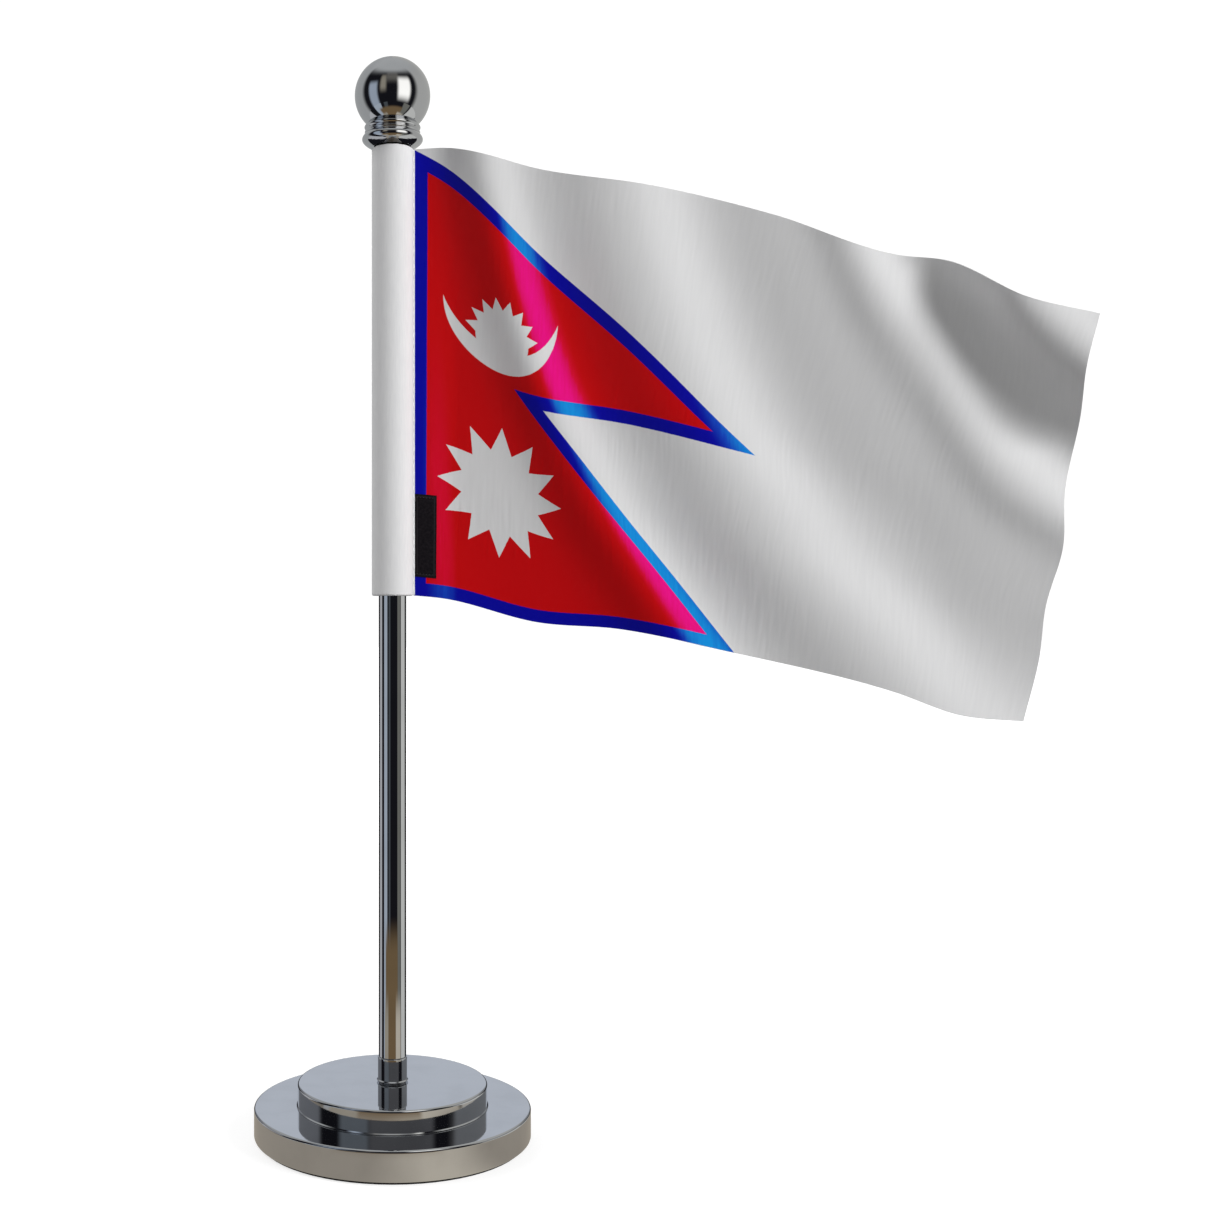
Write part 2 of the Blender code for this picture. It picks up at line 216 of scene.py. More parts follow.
class Value:
    """A number that varies over a surface, as the output of a node. Arithmetic on it adds Math nodes."""

    def __init__(self, tree, socket):
        self.tree = tree
        self.socket = socket

    def math(self, operation, *others):
        node = self.tree.nodes.new("ShaderNodeMath")
        node.operation = operation
        for index, value in enumerate((self, *others)):
            if isinstance(value, Value):
                self.tree.links.new(value.socket, node.inputs[index])
            else:
                node.inputs[index].default_value = value
        return Value(self.tree, node.outputs[0])

    def __add__(self, other):
        return self.math("ADD", other)

    def __sub__(self, other):
        return self.math("SUBTRACT", other)

    def __rsub__(self, other):
        return self.math("MULTIPLY", -1.0).math("ADD", other)

    def __mul__(self, other):
        return self.math("MULTIPLY", other)

    def pick(self, operation, others):
        found = self
        for other in others:
            found = found.math(operation, other)
        return found

    def least(self, *others):
        return self.pick("MINIMUM", others)

    def most(self, *others):
        return self.pick("MAXIMUM", others)

    def above(self, low, high):
        """0 below low, 1 above high, and smooth between."""
        node = self.tree.nodes.new("ShaderNodeMapRange")
        node.interpolation_type = "SMOOTHSTEP"
        self.tree.links.new(self.socket, node.inputs["Value"])
        node.inputs["From Min"].default_value = low
        node.inputs["From Max"].default_value = high
        return Value(self.tree, node.outputs["Result"])

    def between(self, low, high, soft):
        return self.above(low - soft, low + soft) * (1.0 - self.above(high - soft, high + soft))

    def spread(self, low, high):
        """Turns 0 to 1 into low to high."""
        return self * (high - low) + low


class Nodes:
    """The nodes of one material or world."""

    def __init__(self, owner):
        owner.use_nodes = True
        self.owner = owner
        self.tree = owner.node_tree
        self.tree.nodes.clear()

    def add(self, kind, **settings):
        node = self.tree.nodes.new(kind)
        for name, value in settings.items():
            setattr(node, name, value)
        return node

    def put(self, node, name, value):
        """Sets a socket, or links a Value or an output socket to it."""
        socket = node.inputs[name]
        if isinstance(value, Value):
            self.tree.links.new(value.socket, socket)
        elif isinstance(value, bpy.types.NodeSocket):
            self.tree.links.new(value, socket)
        else:
            socket.default_value = value

    def place(self, source="Object"):
        return self.add("ShaderNodeTexCoord").outputs[source]

    def point(self, source="Object"):
        """The x, y and z of a texture coordinate, as Values."""
        return self.split(self.place(source))

    def split(self, socket):
        parts = self.add("ShaderNodeSeparateXYZ")
        self.put(parts, 0, socket)
        return [Value(self.tree, parts.outputs[index]) for index in range(3)]

    def join(self, x, y, z):
        joined = self.add("ShaderNodeCombineXYZ")
        for index, value in enumerate((x, y, z)):
            self.put(joined, index, value)
        return joined.outputs[0]

    def noise(self, vector, scale, detail=2.0, roughness=0.5, stretch=(1.0, 1.0, 1.0)):
        """Noise at a place, between 0 and 1 and mostly near 0.5."""
        mapping = self.add("ShaderNodeMapping")
        self.put(mapping, "Vector", vector)
        self.put(mapping, "Scale", stretch)
        texture = self.add("ShaderNodeTexNoise")
        self.put(texture, "Vector", mapping.outputs[0])
        self.put(texture, "Scale", scale)
        self.put(texture, "Detail", detail)
        self.put(texture, "Roughness", roughness)
        return Value(self.tree, texture.outputs[0])

    def mix(self, share, first, second):
        """A colour between two, each a colour or a socket."""
        node = self.add("ShaderNodeMix", data_type="RGBA")
        self.put(node, 0, share)
        self.put(node, 6, self.colour(first))
        self.put(node, 7, self.colour(second))
        return node.outputs[2]

    def darken(self, share, tint, part_left):
        """A tint that darkens to a part of itself."""
        return self.mix(share, tint, tuple(part_left * part for part in tint))

    @staticmethod
    def colour(value):
        return (*value, 1.0) if isinstance(value, tuple) and len(value) == 3 else value

    def ramp(self, value, stops):
        """A colour by a value: stops are (place, (r, g, b))."""
        node = self.add("ShaderNodeValToRGB")
        self.put(node, 0, value)
        elements = node.color_ramp.elements
        while len(elements) > 1:
            elements.remove(elements[0])
        elements[0].position = stops[0][0]
        elements[0].color = (*stops[0][1], 1.0)
        for place, colour in stops[1:]:
            elements.new(place).color = (*colour, 1.0)
        return node.outputs[0]

    def bump(self, height, strength, distance):
        node = self.add("ShaderNodeBump")
        self.put(node, "Strength", strength)
        self.put(node, "Distance", distance)
        self.put(node, "Height", height)
        return node.outputs[0]

    def shader(self, kind, **sockets):
        """A shader with these sockets set, as its output."""
        shader = self.add(kind)
        for name, value in sockets.items():
            self.put(shader, name.replace("_", " "), self.colour(value))
        return shader.outputs[0]

    def blend(self, share, first, second):
        """A shader between two others."""
        node = self.add("ShaderNodeMixShader")
        for index, value in enumerate((share, first, second)):
            self.put(node, index, value)
        return node.outputs[0]

    def show(self, shader, output="ShaderNodeOutputMaterial"):
        self.put(self.add(output), "Surface", shader)
        return self.owner

    def surface(self, **sockets):
        """A Principled surface with these sockets set, as its material."""
        return self.show(self.shader("ShaderNodeBsdfPrincipled", **sockets))


def new_material(name):
    return Nodes(bpy.data.materials.new(name))


# ---- materials


def polished_chrome(name, around, dull, tint=(0.62, 0.63, 0.65)):
    """Mirror plating with faint polishing lines: around the axis on turned faces, or along it."""
    nodes = new_material(name)
    x, y, z = nodes.point()
    radius = (x * x + y * y).math("SQRT")
    across = z if around else y.math("DIVIDE", x).math("ARCTANGENT") * 0.01
    lines = nodes.noise(nodes.join(radius, across, across), 2600.0, 3.0, 0.6)
    spots = nodes.noise(nodes.place(), 90.0, 3.0)
    rough = lines.above(0.3, 0.8).spread(dull / 2, dull) + spots.above(0.55, 0.8) * (dull / 4)
    return nodes.surface(
        Base_Color=nodes.darken(spots.above(0.35, 0.75), tint, 0.93),
        Metallic=1.0,
        Roughness=rough,
        Normal=nodes.bump(lines, 0.06, 0.00002),
    )


def turned_metal(name, tint, rough):
    """Zinc-plated steel or brass as it leaves the lathe: fine grooves and dull blotches."""
    nodes = new_material(name)
    x, y, z = nodes.point()
    radius = (x * x + y * y).math("SQRT")
    grooves = nodes.noise(nodes.join(radius, z, z), 5200.0, 3.0, 0.6)
    blotches = nodes.noise(nodes.place(), 420.0, 4.0)
    return nodes.surface(
        Base_Color=nodes.darken(blotches.above(0.4, 0.75), tint, 0.72),
        Metallic=1.0,
        Roughness=(grooves * 0.18 + blotches * 0.16) + (rough - 0.17),
        Normal=nodes.bump(grooves, 0.35, 0.00004),
    )


def moulded(name, tint, rough, grain):
    """Plastic or rubber: a fine moulded grain with a little unevenness in colour and gloss."""
    nodes = new_material(name)
    place = nodes.place()
    fine = nodes.noise(place, 6000.0, 2.0)
    broad = nodes.noise(place, 300.0, 3.0)
    return nodes.surface(
        Base_Color=nodes.darken(broad.above(0.3, 0.7), tint, 0.85),
        Roughness=(broad * 0.2 + (rough - 0.1)),
        Normal=nodes.bump(fine, grain, 0.00003),
    )


def pressed_felt():
    """Short fibres pressed flat, in dark greys."""
    nodes = new_material("pressed_felt")
    place = nodes.place()
    first = nodes.noise(place, 1500.0, 4.0, 0.7, (1.0, 0.12, 1.0))
    second = nodes.noise(place, 1500.0, 4.0, 0.7, (0.12, 1.0, 1.0))
    fibres = first.most(second)
    return nodes.surface(
        Base_Color=nodes.mix(fibres.above(0.45, 0.75), (0.018, 0.018, 0.02), (0.075, 0.075, 0.08)),
        Roughness=0.95,
        Sheen_Weight=0.35,
        Sheen_Roughness=0.5,
        Normal=nodes.bump(fibres, 0.8, 0.0003),
    )


def weave(nodes, across, along, pitch):
    """Height of a plain weave at a place given in millimetres."""
    turn = math.pi / pitch
    warp = (across * turn).math("SINE").math("ABSOLUTE")
    weft = (along * turn).math("SINE").math("ABSOLUTE")
    checks = (across * (turn / 2)).math("SINE") * (along * (turn / 2)).math("SINE")
    over = checks.above(-0.25, 0.25)
    return warp * over + weft * (1.0 - over)


def sleeve_cloth():
    """Plain white polyester on the sleeve: a close weave with a faint vertical grain."""
    nodes = new_material("sleeve_cloth")
    x, y, z = nodes.point()
    around = y.math("ARCTAN2", x) * 6.5
    height = z * 1000.0
    threads = weave(nodes, around, height, 0.32)
    grain = nodes.noise(nodes.join(around, height * 0.08, 0.0), 2.2, 3.0)
    return nodes.surface(
        Base_Color=nodes.mix(grain.above(0.3, 0.7), (0.93, 0.93, 0.935), (0.89, 0.89, 0.90)),
        Roughness=0.72,
        Sheen_Weight=0.08,
        Sheen_Roughness=0.5,
        Normal=nodes.bump(threads * 0.6 + grain * 0.4, 0.25, 0.00008),
    )


def star_edge(x, y, outer, inner, points, apex):
    """How far inside the edge of a star a point is. Its points lie at apex and every step from there."""
    half = math.pi / points
    distance = (x * x + y * y).math("SQRT")
    angle = (y.math("ARCTAN2", x) - apex).math("PINGPONG", half)
    edge = outer * inner * math.sin(half)
    spread = angle.math("SINE") * outer + (half - angle).math("SINE") * inner
    return spread.math("DIVIDE", edge).math("POWER", -1.0) - distance


def inside_circle(x, y, radius):
    return radius - (x * x + y * y).math("SQRT")


def pennant(x, y, border):
    """How far inside the double pennant a point is, with its outline moved out by a border."""
    lower = (x + border).least(y + border, (100.0 - x - y) * (1 / math.sqrt(2)) + border)
    upper = (x + border).least(
        y - (NOTCH_Y - border),
        (PEAK_Y - x * SLOPE - y) * (1 / math.hypot(1.0, SLOPE)) + border,
    )
    return lower.most(upper)


def printed_cloth():
    """White polyester satin with the dye-printed flag. Its ink is painted lighter, towards magenta and cyan,
    on the flanks that face the key light: a painted highlight read from a point attribute of the mesh."""
    nodes = new_material("printed_cloth")
    across, up, _ = nodes.split(nodes.add("ShaderNodeUVMap", uv_map="cut").outputs[0])
    from_hoist = across * FLY
    from_top = HOIST - up * HOIST
    flat_place = nodes.join(from_hoist, from_top, 0.0)

    bleed = nodes.noise(flat_place, 1.6, 2.0, 0.5, (1.0, 0.5, 1.0)) * 0.16 - 0.08
    x = (from_hoist + bleed) * (1 / PRINT_UNIT) - BORDER
    y = PRINT_TOP - (from_top + bleed) * (1 / PRINT_UNIT)

    field = pennant(x, y, 0.0)
    outline = pennant(x, y, BORDER)
    aside = x - EMBLEM_X
    crescent = inside_circle(aside, y - CRESCENT_Y, CRESCENT_R).least(
        CRESCENT_Y - y,
        inside_circle(aside, y - CUT_Y, CUT_R) * -1.0,
    )
    rays = star_edge(aside, y - MOON_Y, *MOON_STAR, math.pi / MOON_STAR[2])
    disc = inside_circle(aside, y - MOON_Y, MOON_STAR[1])
    upper_half = y.math("GREATER_THAN", MOON_Y)
    moon = crescent.most(rays * upper_half + disc * (1.0 - upper_half))
    sun = star_edge(aside, y - SUN_Y, *SUN_STAR, 0.0)
    emblem = moon.most(sun)

    half_edge = SOFT_EDGE / PRINT_UNIT / 2
    is_blue = outline.above(-half_edge, half_edge)
    is_red = field.above(-half_edge, half_edge)
    is_white = emblem.above(-half_edge, half_edge)

    # Painted highlight: how squarely each point faces the key light, kept on the mesh, lightens the ink
    # below.
    painted_highlight = nodes.add("ShaderNodeAttribute", attribute_name="painted_highlight")
    painted_highlight = Value(nodes.tree, painted_highlight.outputs["Fac"])
    streaks = nodes.noise(flat_place, 1.1, 3.0, 0.6, (1.0, 0.09, 1.0))
    lit = (painted_highlight + (streaks - 0.5) * 0.5 * painted_highlight.above(0.02, 0.4)).most(0.0)
    # The red and blue are painted lighter, towards magenta and cyan, where that painted highlight is strong.
    red = nodes.ramp(
        lit,
        [(0.0, (0.60, 0.0, 0.002)), (0.35, (0.70, 0.0, 0.03)), (1.0, (0.84, 0.001, 0.24))],
    )
    blue = nodes.ramp(
        lit,
        [(0.0, (0.0, 0.0, 0.36)), (0.35, (0.004, 0.06, 0.52)), (1.0, (0.003, 0.27, 0.72))],
    )
    slub = nodes.noise(flat_place, 0.9, 3.0, 0.6, (1.0, 0.07, 1.0))
    plain = nodes.mix(slub.above(0.25, 0.75), (0.745, 0.745, 0.75), (0.72, 0.72, 0.725))
    colour = nodes.mix(is_blue, plain, blue)
    colour = nodes.mix(is_red, colour, red)
    colour = nodes.mix(is_white * is_red, colour, plain)

    threads = weave(nodes, from_hoist, from_top, 0.3)
    return nodes.surface(
        Base_Color=colour,
        Roughness=slub.spread(0.5, 0.66),
        Specular_IOR_Level=0.15,
        Sheen_Weight=0.02,
        Sheen_Roughness=0.4,
        Normal=nodes.bump(threads * 0.5 + slub * 0.5, 0.2, 0.00008),
    )


def label_cloth():
    """A woven black label, left blank: ribs across it and a slightly raised woven border."""
    nodes = new_material("label_cloth")
    across, up, _ = nodes.split(nodes.add("ShaderNodeUVMap", uv_map="cut").outputs[0])
    wide = across * LABEL_WIDTH
    tall = up * LABEL_HEIGHT
    ribs = (tall * (math.pi / 0.22)).math("SINE").math("ABSOLUTE")
    threads = (wide * (math.pi / 0.16)).math("SINE").math("ABSOLUTE")
    edge = wide.least(LABEL_WIDTH - wide, tall, LABEL_HEIGHT - tall)
    border = edge.between(0.55, 0.95, 0.06)
    wear = nodes.noise(nodes.join(wide, tall, 0.0), 1.3, 3.0)
    base = nodes.mix(wear.above(0.3, 0.8), (0.006, 0.005, 0.007), (0.016, 0.013, 0.016))
    return nodes.surface(
        Base_Color=nodes.mix(border * 0.5, base, (0.03, 0.027, 0.031)),
        Roughness=0.7,
        Specular_IOR_Level=0.1,
        Normal=nodes.bump(ribs * 0.5 + threads * 0.3 + border * 0.6, 0.5, 0.00008),
    )


def sewing_thread(name, light, dark):
    nodes = new_material(name)
    place = nodes.place()
    twist = nodes.noise(place, 5200.0, 2.0, 0.6, (1.0, 1.0, 2.5))
    return nodes.surface(
        Base_Color=nodes.mix(twist.above(0.35, 0.7), light, dark),
        Roughness=0.6,
        Sheen_Weight=0.15,
        Normal=nodes.bump(twist, 0.5, 0.00004),
    )


# ---- mesh helpers


def finish_mesh(name, mesh, material, body, sharp):
    """Makes an object of a mesh in metres, smooth but for edges sharper than an angle."""
    mesh.materials.append(material)
    for polygon in mesh.polygons:
        polygon.use_smooth = True
    if sharp:
        mesh.set_sharp_from_angle(angle=math.radians(sharp))
    made = bpy.data.objects.new(name, mesh)
    bpy.context.scene.collection.objects.link(made)
    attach(made, body)
    return made


def unit(vector):
    return vector / np.linalg.norm(vector)


def rounded(corners, radius, steps=8):
    """A profile of (r, z) corners, in which each (r, z, True) corner is turned into an arc."""
    path = []
    for index, corner in enumerate(corners):
        here = np.array(corner[:2])
        if len(corner) == 2:
            path.append(corner)
            continue
        before = unit(np.array(corners[index - 1][:2]) - here)
        after = unit(np.array(corners[(index + 1) % len(corners)][:2]) - here)
        half = math.acos(float(before @ after)) / 2
        start = here + before * radius / math.tan(half)
        end = here + after * radius / math.tan(half)
        centre = here + unit(before + after) * radius / math.sin(half)
        for step in range(steps + 1):
            share = step / steps
            point = centre + unit(start * (1 - share) + end * share - centre) * radius
            path.append((float(point[0]), float(point[1])))
    return path


def supported(profile, inset=0.06):
    """Adds points close to both ends of each long straight run, so that smooth shading stays flat on it."""
    path = []
    for index, (r, z) in enumerate(profile):
        path.append((r, z))
        next_r, next_z = profile[(index + 1) % len(profile)]
        length = math.hypot(next_r - r, next_z - z)
        if length > 6 * inset:
            for share in (inset / length, 1 - inset / length):
                path.append((r + (next_r - r) * share, z + (next_z - z) * share))
    return path


def solid_mesh(name, verts, faces):
    """A mesh in metres whose faces all look outwards."""
    mesh = bpy.data.meshes.new(name)
    mesh.from_pydata(verts, [], faces)
    mesh.validate()
    bm = bmesh.new()
    bm.from_mesh(mesh)
    bmesh.ops.recalc_face_normals(bm, faces=bm.faces)
    bm.to_mesh(mesh)
    bm.free()
    return mesh


def spun(name, stations, segments, closed, groove=None):
    """A mesh of (r, z) stations spun round the Z axis, each one on the axis as a single point. A groove
    tells how much to take off at a share of a turn and a height."""
    verts = []
    rows = []
    for r, z in stations:
        if r < 1e-6:
            rows.append([len(verts)] * segments)
            verts.append((0.0, 0.0, z * MM))
            continue
        rows.append(list(range(len(verts), len(verts) + segments)))
        for step in range(segments):
            angle = math.tau * step / segments
            here = r - groove(step / segments, z) if groove else r
            verts.append((here * math.cos(angle) * MM, here * math.sin(angle) * MM, z * MM))
    if closed:
        rows.append(rows[0])
    faces = []
    for row, following in zip(rows, rows[1:]):
        for step in range(segments):
            turn = (step + 1) % segments
            corners = dict.fromkeys((row[step], row[turn], following[turn], following[step]))
            if len(corners) > 2:
                faces.append(tuple(corners))
    return solid_mesh(name, verts, faces)


def turned(name, profile, material, body, node, segments=192, sharp=40.0):
    """Spins a closed (r, z) profile into a piece that stands for a CAD node."""
    made = finish_mesh(name, spun(name, profile, segments, True), material, body, sharp)
    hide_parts(node)
    return made


def ring_faces(first, count):
    """The faces between a ring of points and the ring that follows it."""
    faces = []
    for corner in range(count):
        turn = (corner + 1) % count
        faces.append((first + corner, first + turn, first + count + turn, first + count + corner))
    return faces


def span(node):
    """A CAD node's outer radius, bottom and top, in millimetres."""
    low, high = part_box(node)
    return high.x / MM, low.z / MM, high.z / MM


def bead(low, high, r_low, r_high, swell, steps):
    """Points up the outside of one turned ring, standing out by swell at its middle."""
    points = []
    for step in range(steps + 1):
        share = step / steps
        r = r_low + (r_high - r_low) * share + swell * math.sin(math.pi * share)
        points.append((r, low + (high - low) * share))
    return points


def threaded(name, outline, thread, low, high, material, body, node):
    """A screw: an (r, z) outline from its lower to its upper end. Each long run that starts above low
    carries a real helix, and no groove is cut outside low and high."""
    pitch, depth = thread
    rows_per_turn = 10
    stations = []
    for (r_from, z_from), (r_to, z_to) in zip(outline, outline[1:]):
        on_thread = min(z_from, z_to) >= low - 0.01 and abs(z_to - z_from) > pitch
        pieces = max(1, round(abs(z_to - z_from) / pitch * rows_per_turn)) if on_thread else 1
        for step in range(pieces):
            share = step / pieces
            stations.append((r_from + (r_to - r_from) * share, z_from + (z_to - z_from) * share))
    stations.append(outline[-1])

    def groove(turn, z):
        if not low < z < high:
            return 0.0
        from_crest = abs((z / pitch - turn) % 1.0 - 0.5)
        return depth * min(1.0, FLANK_FALL * from_crest) * min(1.0, (z - low) / pitch, (high - z) / pitch)

    made = finish_mesh(name, spun(name, stations, 40, False, groove), material, body, 40.0)
    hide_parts(node)


def stitches(name, ends, radius, material, body):
    """Stitches: each runs between two points, given in millimetres, and dips into the cloth at its ends."""
    verts = []
    faces = []
    sides = 6
    for row in ends:
        start, end, up = (np.array(part, float) for part in row)
        side = np.cross(unit(end - start), up)
        first = len(verts)
        steps = 5
        for step in range(steps + 1):
            share = step / steps
            middle = start + (end - start) * share + up * radius * (2.2 * math.sin(math.pi * share) - 1.2)
            thick = radius * (0.45 + 0.55 * math.sin(math.pi * share))
            for corner in range(sides):
                angle = math.tau * corner / sides
                verts.append(tuple((middle + (side * math.cos(angle) + up * math.sin(angle)) * thick) * MM))
        for step in range(steps):
            faces += ring_faces(first + step * sides, sides)
        faces.append(tuple(range(first, first + sides)))
        last = first + steps * sides
        faces.append(tuple(range(last, last + sides)))
    return finish_mesh(name, solid_mesh(name, verts, faces), material, body, 0)


# ---- foot, mast and finial


def build_foot(chrome, steel):
    plate_r, plate_low, plate_high = span("base_plate")
    plate = [
        (SCREW_HOLE_R, COUNTERBORE_TOP), (COUNTERBORE_R, COUNTERBORE_TOP), (COUNTERBORE_R, plate_low),
        (plate_r, plate_low, True), (plate_r, plate_high, True), (SCREW_HOLE_R, plate_high),
    ]
    turned("lower_disc", supported(rounded(plate, EDGE_ROUND)), chrome, "base", "base_plate", 256)

    lip_r, step_low, step_high = span("base_step")
    step_r = lip_r - LIP
    step = [
        (SCREW_HOLE_R, step_low), (lip_r, step_low), (lip_r, step_low + LIP_T),
        (step_r, step_low + LIP_T + LIP), (step_r, step_high, True), (SCREW_HOLE_R, step_high),
    ]
    turned("upper_disc", supported(rounded(step, EDGE_ROUND)), chrome, "base", "base_step", 256)

    head_r, head_low, tip = span("base_screw")
    head_high = head_low + HEAD_T
    socket = head_low + SOCKET_DEPTH
    outline = [
        (0, socket), (SOCKET_R - 0.15, socket), (SOCKET_R, socket + 0.1), (SOCKET_R, head_low),
        (head_r - 0.35, head_low), (head_r, head_low + 0.35), (head_r, head_high - 0.1),
        (head_r - 0.1, head_high), (SHANK_R, head_high), (SHANK_R, tip - 0.6), (SHANK_R - 0.6, tip), (0, tip),
    ]
    # Its shank starts below the thread's lower end, so it is left plain but for a trace near the tip.
    threaded("foot_screw", outline, FOOT_THREAD, head_high + 1.0, tip - 0.3, steel, "base", "base_screw")


def build_mast(chrome_along, chrome_around):
    lip_r, collar_low, spigot_top = span("pole_ferrule")
    collar_r = lip_r - LIP
    ferrule = [
        (TAP_R, collar_low), (lip_r, collar_low), (lip_r, collar_low + LIP_T),
        (collar_r, collar_low + LIP_T + LIP), (collar_r, COLLAR_TOP, True), (SPIGOT_R, COLLAR_TOP),
        (SPIGOT_R, spigot_top - 0.5), (SPIGOT_R - 0.5, spigot_top), (0, spigot_top), (0, TAP_TOP),
        (TAP_R, TAP_TOP),
    ]
    profile = supported(rounded(ferrule, COLLAR_ROUND, 5))
    turned("mast_collar", profile, chrome_around, "pole", "pole_ferrule", 160)

    tube_r, tube_low, tube_high = span("pole_tube")
    tube = [
        (TUBE_BORE_R, tube_low), (tube_r, tube_low, True), (tube_r, tube_high, True),
        (TUBE_BORE_R, tube_high),
    ]
    profile = supported(rounded(tube, TUBE_ROUND, 4))
    turned("mast_tube", profile, chrome_along, "pole", "pole_tube", 160)


def build_finial(chrome, steel):
    neck = [(NECK_BORE_R, NECK_BOTTOM)]
    for ring_shape in NECK_RINGS:
        neck += bead(*ring_shape, 20)
    neck += [(NECK_BORE_R, NECK_TOP)]
    turned("finial_rings", supported(neck), chrome, "finial", "finial_neck", 192, 50.0)

    flat_z = NECK_TOP + 0.05
    low_angle = math.asin((flat_z - BALL_CENTRE) / BALL_R)
    stud_r, stud_low, stud_high = span("finial_stud")
    ball = [(0, stud_high + 1.0), (NECK_BORE_R, stud_high + 1.0), (NECK_BORE_R, flat_z)]
    steps = 72
    for step in range(steps + 1):
        angle = low_angle + (math.pi / 2 - low_angle) * step / steps
        r = BALL_R * math.cos(angle) if step < steps else 0.0
        ball.append((r, BALL_CENTRE + BALL_R * math.sin(angle)))
    turned("finial_globe", ball, chrome, "finial", "finial_ball", 160, 50.0)

    outline = [
        (0, stud_low), (stud_r - 0.5, stud_low), (stud_r, stud_low + 0.5), (stud_r, stud_high - 0.5),
        (stud_r - 0.5, stud_high), (0, stud_high),
    ]
    low = stud_low + 0.2
    threaded("finial_thread", outline, FINIAL_THREAD, low, stud_high - 0.2, steel, "finial", "finial_stud")


# ---- the flag


def smooth(share):
    """Turns a share from 0 to 1 into one that starts and ends level."""
    return share * share * (3 - 2 * share)


def smooth_through(stations, values, where):
    """A smooth curve through values given at stations, read at where."""
    stations = np.asarray(stations, float)
    values = np.asarray(values, float)
    slopes = np.gradient(values, stations)
    index = np.clip(np.searchsorted(stations, where) - 1, 0, len(stations) - 2)
    gap = stations[index + 1] - stations[index]
    share = (where - stations[index]) / gap
    rest = 1 - share
    start = rest * rest * (1 + 2 * share) * values[index] + rest * rest * share * gap * slopes[index]
    end_slope = share * share * rest * gap * slopes[index + 1]
    return start + smooth(share) * values[index + 1] - end_slope


def cloth_outline(fly, drop):
    """(x, z) in the plane of the mast of the cloth at a share of the fly and a share of the drop."""
    upper = np.array(UPPER_EDGE)
    lower = np.array(LOWER_EDGE)
    free = np.array(FREE_EDGE)
    upper_x = upper[0, 0] + (upper[-1, 0] - upper[0, 0]) * fly
    upper_z = smooth_through(upper[:, 0], upper[:, 1], upper_x)
    lower_x = lower[0, 0] + (lower[-1, 0] - lower[0, 0]) * fly
    lower_z = smooth_through(lower[:, 0], lower[:, 1], lower_x)
    run = np.concatenate(([0.0], np.cumsum(np.hypot(*np.diff(free, axis=0).T))))
    along = drop * run[-1]
    free_x = smooth_through(run, free[:, 0], along)
    free_z = smooth_through(run, free[:, 1], along)

    def between_edges(top_value, low_value, free_value, axis):
        top_start, top_end = upper[0, axis], upper[-1, axis]
        low_start, low_end = lower[0, axis], lower[-1, axis]
        hoist_value = top_start + (low_start - top_start) * drop
        corners = (1 - fly) * hoist_value + fly * (top_end + (low_end - top_end) * drop)
        up_and_down = (1 - drop) * top_value + drop * low_value
        return up_and_down + (1 - fly) * hoist_value + fly * free_value - corners

    x = between_edges(upper_x, lower_x, free_x, 0)
    z = between_edges(upper_z, lower_z, free_z, 1)
    belly = np.sin(np.pi * fly) * np.sin(np.pi * drop)
    return x - GATHER * 2 * fly * belly, z - BELLY * belly


def fold_line(fly, drop):
    """Where on the upper edge the fold through this point starts: it bends outwards as it runs down."""
    low = np.full_like(fly, -0.7)
    high = np.full_like(fly, 1.05)
    for _ in range(24):
        start = (low + high) / 2
        lean = FOLD_LEAN + FOLD_FAN * start * np.abs(start)
        reached = start + lean * drop + (FOLD_BEND + FOLD_FAN / 2 * start) * drop * drop
        low = np.where(reached < fly, start, low)
        high = np.where(reached < fly, high, start)
    return (low + high) / 2


def folds(fly, drop):
    """How far back the folds put the cloth here, and the share of the fly that their slopes have taken up."""
    line = fold_line(fly, drop)
    depth = np.zeros_like(fly)
    taken = np.zeros_like(fly)
    for start, width, step_top, step_more in FLANKS:
        crossed = 0.5 * (1 + np.tanh((line - start) / width))
        step = step_top + step_more * drop
        depth = depth + step * crossed
        # A slope like this is longer than its width across by step squared over six half widths.
        taken = taken + step * step / (6 * width * FLY * FLY) * crossed
    return depth, taken


def cloth_point(fly, drop):
    """(x, y, z) of the cloth's middle surface, as arrays."""
    depth, taken = folds(fly, drop)
    _, taken_in_all = folds(np.ones_like(fly), drop)
    _, taken_before = folds(np.zeros_like(fly), drop)
    depth = depth * smooth(np.clip(fly / HELD_FLAT, 0, 1))
    reach = fly * (1 + taken_in_all - taken_before) - (taken - taken_before)
    x, z = cloth_outline(reach, drop)
    nearer = 1 - depth / EYE_Y
    return np.stack((x * nearer, depth, EYE_Z + (z - EYE_Z) * nearer), axis=-1)


def soft_noise(random, across, down):
    """Smooth noise over a plane, from -1 to 1, one random value at each whole number."""
    columns = int(across.max()) + 3
    rows = int(down.max()) + 3
    values = random.uniform(-1, 1, (rows, columns))
    col = np.floor(across).astype(int)
    row = np.floor(down).astype(int)
    part_x = smooth(across - col)
    part_y = smooth(down - row)
    top = values[row, col] * (1 - part_x) + values[row, col + 1] * part_x
    low = values[row + 1, col] * (1 - part_x) + values[row + 1, col + 1] * part_x
    return top * (1 - part_y) + low * part_y


def crinkles(fly, drop):
    """Height in millimetres of the fine upright creases that the thread leaves in the cloth."""
    random = np.random.default_rng(CREASE_SEED)
    across = fly * FLY
    down = drop * HOIST
    sway = 1.6 * soft_noise(random, across / 23 + 1, down / 17 + 1)
    slant = across + 0.10 * down + sway + 20
    coarse = soft_noise(random, slant / 0.78, down / 8.0)
    fine = soft_noise(random, slant / 0.55, down / 5.0 + 1)
    patches = soft_noise(random, across / 14, down / 22 + 1)
    return (COARSE_CREASE * coarse + FINE_CREASE * fine) * (0.75 + 0.5 * patches)


